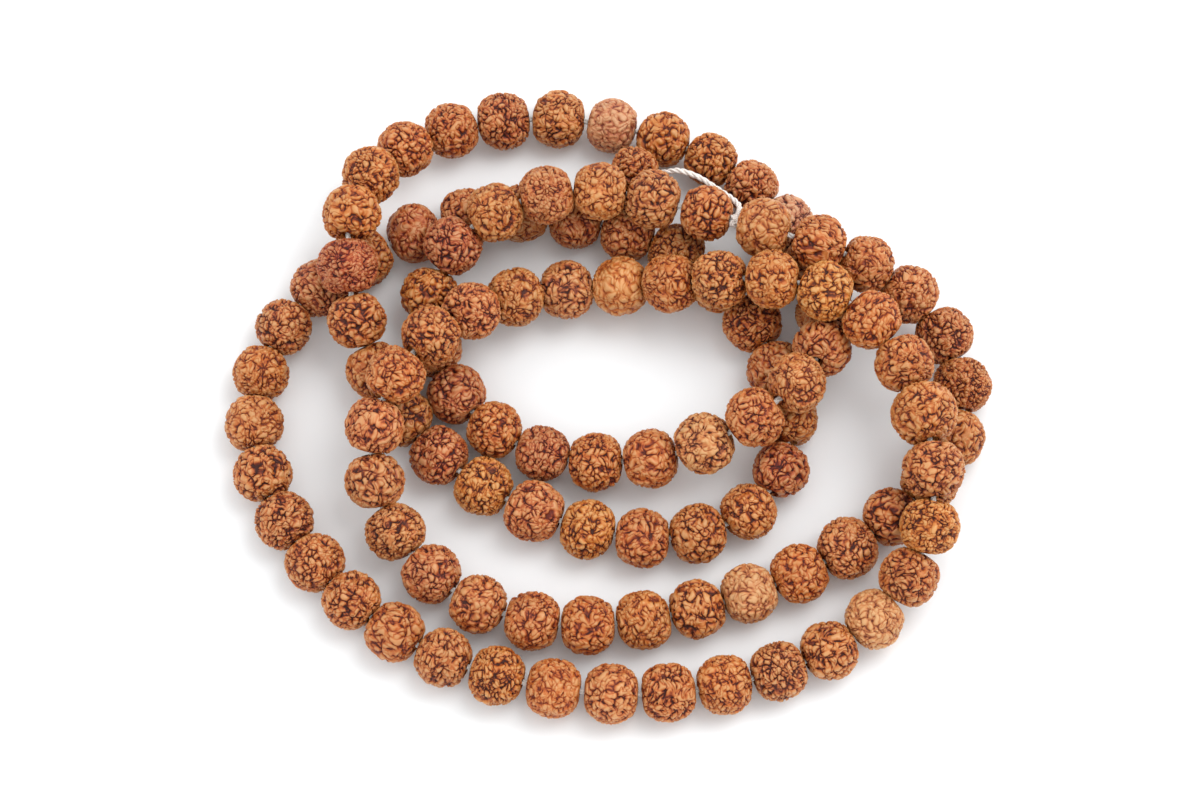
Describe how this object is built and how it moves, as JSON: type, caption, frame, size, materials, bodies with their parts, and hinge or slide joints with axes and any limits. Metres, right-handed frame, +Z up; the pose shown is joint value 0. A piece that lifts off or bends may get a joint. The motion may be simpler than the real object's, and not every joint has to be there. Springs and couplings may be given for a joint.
{
  "type": "prayer beads",
  "caption": "Mala of wrinkled brown rudraksha seeds threaded on a white twisted cord, with a guru seed on a short bare stem, laid down in loose overlapping rings.",
  "frame": {"origin": "middle of the footprint, on the table that the rings lie on", "axes": "+Z up from the table; +X along the longer side of the laid rings, +Y along the shorter, towards the guru seed"},
  "size_m": [0.1046, 0.0912, 0.0178],
  "materials": {
    "seed_shell": "semi-gloss seed shell",
    "guru_shell": "semi-gloss seed shell",
    "cotton_cord": "three-strand twisted white cotton"
  },
  "bodies": {
    "string_and_crossings": {"string": "cotton_cord", "stem_cord": "cotton_cord", "closing_knot": "cotton_cord", "guru_knot": "cotton_cord", "crossing_seeds_001_to_009": "seed_shell", "crossing_seeds_015_to_021": "seed_shell", "crossing_seeds_029_to_035": "seed_shell", "crossing_seeds_042_to_054": "seed_shell", "crossing_seeds_074_to_088": "seed_shell", "crossing_seeds_100_to_108": "seed_shell"},
    "guru_seed": {"guru_seed": "guru_shell"},
    "seed_010": {"seed_010": "seed_shell"},
    "seed_011": {"seed_011": "seed_shell"},
    "seed_012": {"seed_012": "seed_shell"},
    "seed_013": {"seed_013": "seed_shell"},
    "seed_014": {"seed_014": "seed_shell"},
    "seed_022": {"seed_022": "seed_shell"},
    "seed_023": {"seed_023": "seed_shell"},
    "seed_024": {"seed_024": "seed_shell"},
    "seed_025": {"seed_025": "seed_shell"},
    "seed_026": {"seed_026": "seed_shell"},
    "seed_027": {"seed_027": "seed_shell"},
    "seed_028": {"seed_028": "seed_shell"},
    "seed_036": {"seed_036": "seed_shell"},
    "seed_037": {"seed_037": "seed_shell"},
    "seed_038": {"seed_038": "seed_shell"},
    "seed_039": {"seed_039": "seed_shell"},
    "seed_040": {"seed_040": "seed_shell"},
    "seed_041": {"seed_041": "seed_shell"},
    "seed_055": {"seed_055": "seed_shell"},
    "seed_056": {"seed_056": "seed_shell"},
    "seed_057": {"seed_057": "seed_shell"},
    "seed_058": {"seed_058": "seed_shell"},
    "seed_059": {"seed_059": "seed_shell"},
    "seed_060": {"seed_060": "seed_shell"},
    "seed_061": {"seed_061": "seed_shell"},
    "seed_062": {"seed_062": "seed_shell"},
    "seed_063": {"seed_063": "seed_shell"},
    "seed_064": {"seed_064": "seed_shell"},
    "seed_065": {"seed_065": "seed_shell"},
    "seed_066": {"seed_066": "seed_shell"},
    "seed_067": {"seed_067": "seed_shell"},
    "seed_068": {"seed_068": "seed_shell"},
    "seed_069": {"seed_069": "seed_shell"},
    "seed_070": {"seed_070": "seed_shell"},
    "seed_071": {"seed_071": "seed_shell"},
    "seed_072": {"seed_072": "seed_shell"},
    "seed_073": {"seed_073": "seed_shell"},
    "seed_089": {"seed_089": "seed_shell"},
    "seed_090": {"seed_090": "seed_shell"},
    "seed_091": {"seed_091": "seed_shell"},
    "seed_092": {"seed_092": "seed_shell"},
    "seed_093": {"seed_093": "seed_shell"},
    "seed_094": {"seed_094": "seed_shell"},
    "seed_095": {"seed_095": "seed_shell"},
    "seed_096": {"seed_096": "seed_shell"},
    "seed_097": {"seed_097": "seed_shell"},
    "seed_098": {"seed_098": "seed_shell"},
    "seed_099": {"seed_099": "seed_shell"}
  },
  "joints": [
    {"name": "guru_seed_spin", "type": "hinge", "parent": "string_and_crossings", "child": "guru_seed", "pos_m": [0.00362, 0.03269, 0.00657], "axis": [0.9982, -0.0599, 0], "continuous": true},
    {"name": "seed_010_spin", "type": "hinge", "parent": "string_and_crossings", "child": "seed_010", "pos_m": [-0.01554, -0.00422, 0.00405], "axis": [0.7981, -0.6015, -0.0343], "continuous": true},
    {"name": "seed_011_spin", "type": "hinge", "parent": "string_and_crossings", "child": "seed_011", "pos_m": [-0.00898, -0.00762, 0.00392], "axis": [0.9526, -0.3044, 0.0015], "continuous": true},
    {"name": "seed_012_spin", "type": "hinge", "parent": "string_and_crossings", "child": "seed_012", "pos_m": [-0.00175, -0.00901, 0.00426], "axis": [0.9938, -0.0683, 0.0873], "continuous": true},
    {"name": "seed_013_spin", "type": "hinge", "parent": "string_and_crossings", "child": "seed_013", "pos_m": [0.00568, -0.00891, 0.00548], "axis": [0.968, 0.0921, 0.2336], "continuous": true},
    {"name": "seed_014_spin", "type": "hinge", "parent": "string_and_crossings", "child": "seed_014", "pos_m": [0.01298, -0.00764, 0.00783], "axis": [0.9014, 0.2319, 0.3655], "continuous": true},
    {"name": "seed_022_spin", "type": "hinge", "parent": "string_and_crossings", "child": "seed_022", "pos_m": [0.01418, 0.03559, 0.00392], "axis": [-0.8657, 0.5006, -0.0015], "continuous": true},
    {"name": "seed_023_spin", "type": "hinge", "parent": "string_and_crossings", "child": "seed_023", "pos_m": [0.00758, 0.03866, 0.00392], "axis": [-0.9383, 0.3458, 0.0017], "continuous": true},
    {"name": "seed_024_spin", "type": "hinge", "parent": "string_and_crossings", "child": "seed_024", "pos_m": [0.00051, 0.04071, 0.00393], "axis": [-0.9786, 0.2058, -0.0002], "continuous": true},
    {"name": "seed_025_spin", "type": "hinge", "parent": "string_and_crossings", "child": "seed_025", "pos_m": [-0.00694, 0.04168, 0.00393], "axis": [-0.9983, 0.0576, 0.0005], "continuous": true},
    {"name": "seed_026_spin", "type": "hinge", "parent": "string_and_crossings", "child": "seed_026", "pos_m": [-0.01461, 0.04147, 0.00392], "axis": [-0.9932, -0.1163, -0.0024], "continuous": true},
    {"name": "seed_027_spin", "type": "hinge", "parent": "string_and_crossings", "child": "seed_027", "pos_m": [-0.02186, 0.03978, 0.00432], "axis": [-0.9359, -0.3346, 0.1101], "continuous": true},
    {"name": "seed_028_spin", "type": "hinge", "parent": "string_and_crossings", "child": "seed_028", "pos_m": [-0.02822, 0.03636, 0.00595], "axis": [-0.7553, -0.5722, 0.3196], "continuous": true},
    {"name": "seed_036_spin", "type": "hinge", "parent": "string_and_crossings", "child": "seed_036", "pos_m": [-0.01698, -0.01248, 0.00413], "axis": [0.8526, -0.5226, 0.0042], "continuous": true},
    {"name": "seed_037_spin", "type": "hinge", "parent": "string_and_crossings", "child": "seed_037", "pos_m": [-0.0101, -0.01602, 0.0041], "axis": [0.9212, -0.3891, -0.0109], "continuous": true},
    {"name": "seed_038_spin", "type": "hinge", "parent": "string_and_crossings", "child": "seed_038", "pos_m": [-0.00284, -0.01854, 0.00399], "axis": [0.964, -0.2653, -0.0174], "continuous": true},
    {"name": "seed_039_spin", "type": "hinge", "parent": "string_and_crossings", "child": "seed_039", "pos_m": [0.00457, -0.01983, 0.004], "axis": [0.9971, -0.0734, 0.0197], "continuous": true},
    {"name": "seed_040_spin", "type": "hinge", "parent": "string_and_crossings", "child": "seed_040", "pos_m": [0.01209, -0.01922, 0.0041], "axis": [0.9739, 0.2268, 0.0073], "continuous": true},
    {"name": "seed_041_spin", "type": "hinge", "parent": "string_and_crossings", "child": "seed_041", "pos_m": [0.01894, -0.01597, 0.00404], "axis": [0.7915, 0.6107, -0.0225], "continuous": true},
    {"name": "seed_055_spin", "type": "hinge", "parent": "string_and_crossings", "child": "seed_055", "pos_m": [-0.04459, 0.01078, 0.00392], "axis": [-0.5323, -0.8466, 0], "continuous": true},
    {"name": "seed_056_spin", "type": "hinge", "parent": "string_and_crossings", "child": "seed_056", "pos_m": [-0.04754, 0.00402, 0.00392], "axis": [-0.2601, -0.9656, 0], "continuous": true},
    {"name": "seed_057_spin", "type": "hinge", "parent": "string_and_crossings", "child": "seed_057", "pos_m": [-0.04833, -0.00332, 0.00392], "axis": [0.0499, -0.9988, 0], "continuous": true},
    {"name": "seed_058_spin", "type": "hinge", "parent": "string_and_crossings", "child": "seed_058", "pos_m": [-0.04698, -0.01057, 0.00392], "axis": [0.3127, -0.9499, 0], "continuous": true},
    {"name": "seed_059_spin", "type": "hinge", "parent": "string_and_crossings", "child": "seed_059", "pos_m": [-0.04392, -0.01727, 0.00392], "axis": [0.5132, -0.8583, 0], "continuous": true},
    {"name": "seed_060_spin", "type": "hinge", "parent": "string_and_crossings", "child": "seed_060", "pos_m": [-0.03966, -0.02326, 0.00392], "axis": [0.6418, -0.7668, 0], "continuous": true},
    {"name": "seed_061_spin", "type": "hinge", "parent": "string_and_crossings", "child": "seed_061", "pos_m": [-0.03457, -0.02856, 0.00392], "axis": [0.7409, -0.6716, 0], "continuous": true},
    {"name": "seed_062_spin", "type": "hinge", "parent": "string_and_crossings", "child": "seed_062", "pos_m": [-0.02876, -0.03307, 0.00392], "axis": [0.8348, -0.5506, 0], "continuous": true},
    {"name": "seed_063_spin", "type": "hinge", "parent": "string_and_crossings", "child": "seed_063", "pos_m": [-0.0222, -0.03664, 0.00392], "axis": [0.9141, -0.4054, 0], "continuous": true},
    {"name": "seed_064_spin", "type": "hinge", "parent": "string_and_crossings", "child": "seed_064", "pos_m": [-0.01499, -0.03923, 0.00392], "axis": [0.963, -0.2696, 0], "continuous": true},
    {"name": "seed_065_spin", "type": "hinge", "parent": "string_and_crossings", "child": "seed_065", "pos_m": [-0.0074, -0.0409, 0.00392], "axis": [0.9873, -0.159, 0.0001], "continuous": true},
    {"name": "seed_066_spin", "type": "hinge", "parent": "string_and_crossings", "child": "seed_066", "pos_m": [0.00032, -0.04168, 0.00393], "axis": [0.9991, -0.0426, 0.0001], "continuous": true},
    {"name": "seed_067_spin", "type": "hinge", "parent": "string_and_crossings", "child": "seed_067", "pos_m": [0.008, -0.04153, 0.00392], "axis": [0.9965, 0.0839, -0.0005], "continuous": true},
    {"name": "seed_068_spin", "type": "hinge", "parent": "string_and_crossings", "child": "seed_068", "pos_m": [0.0155, -0.04046, 0.00395], "axis": [0.9801, 0.1983, 0.0062], "continuous": true},
    {"name": "seed_069_spin", "type": "hinge", "parent": "string_and_crossings", "child": "seed_069", "pos_m": [0.02275, -0.03853, 0.00393], "axis": [0.9489, 0.3155, -0.0109], "continuous": true},
    {"name": "seed_070_spin", "type": "hinge", "parent": "string_and_crossings", "child": "seed_070", "pos_m": [0.02956, -0.03564, 0.00392], "axis": [0.8853, 0.465, 0.0101], "continuous": true},
    {"name": "seed_071_spin", "type": "hinge", "parent": "string_and_crossings", "child": "seed_071", "pos_m": [0.03563, -0.0315, 0.00462], "axis": [0.7454, 0.6431, 0.1756], "continuous": true},
    {"name": "seed_072_spin", "type": "hinge", "parent": "string_and_crossings", "child": "seed_072", "pos_m": [0.04035, -0.0262, 0.00668], "axis": [0.5126, 0.7734, 0.373], "continuous": true},
    {"name": "seed_073_spin", "type": "hinge", "parent": "string_and_crossings", "child": "seed_073", "pos_m": [0.04302, -0.02002, 0.00973], "axis": [0.2014, 0.8743, 0.4415], "continuous": true},
    {"name": "seed_089_spin", "type": "hinge", "parent": "string_and_crossings", "child": "seed_089", "pos_m": [-0.03161, -0.01271, 0.00727], "axis": [0.2038, -0.8986, -0.3886], "continuous": true},
    {"name": "seed_090_spin", "type": "hinge", "parent": "string_and_crossings", "child": "seed_090", "pos_m": [-0.02883, -0.01922, 0.00504], "axis": [0.5323, -0.8223, -0.2012], "continuous": true},
    {"name": "seed_091_spin", "type": "hinge", "parent": "string_and_crossings", "child": "seed_091", "pos_m": [-0.02389, -0.0249, 0.00409], "axis": [0.7504, -0.6593, -0.0474], "continuous": true},
    {"name": "seed_092_spin", "type": "hinge", "parent": "string_and_crossings", "child": "seed_092", "pos_m": [-0.0175, -0.02914, 0.00392], "axis": [0.9006, -0.4347, 0.0038], "continuous": true},
    {"name": "seed_093_spin", "type": "hinge", "parent": "string_and_crossings", "child": "seed_093", "pos_m": [-0.0103, -0.03152, 0.00393], "axis": [0.9826, -0.1855, -0.0015], "continuous": true},
    {"name": "seed_094_spin", "type": "hinge", "parent": "string_and_crossings", "child": "seed_094", "pos_m": [-0.0028, -0.03212, 0.00393], "axis": [0.9996, 0.0274, -0.0007], "continuous": true},
    {"name": "seed_095_spin", "type": "hinge", "parent": "string_and_crossings", "child": "seed_095", "pos_m": [0.00466, -0.0314, 0.00393], "axis": [0.9863, 0.1652, 0.0017], "continuous": true},
    {"name": "seed_096_spin", "type": "hinge", "parent": "string_and_crossings", "child": "seed_096", "pos_m": [0.01189, -0.02984, 0.00392], "axis": [0.9665, 0.2565, -0.003], "continuous": true},
    {"name": "seed_097_spin", "type": "hinge", "parent": "string_and_crossings", "child": "seed_097", "pos_m": [0.01891, -0.02768, 0.00393], "axis": [0.9435, 0.3314, 0.0037], "continuous": true},
    {"name": "seed_098_spin", "type": "hinge", "parent": "string_and_crossings", "child": "seed_098", "pos_m": [0.02571, -0.02489, 0.00404], "axis": [0.9042, 0.4262, 0.0263], "continuous": true},
    {"name": "seed_099_spin", "type": "hinge", "parent": "string_and_crossings", "child": "seed_099", "pos_m": [0.03227, -0.02124, 0.0041], "axis": [0.8415, 0.5402, -0.0083], "continuous": true}
  ]
}
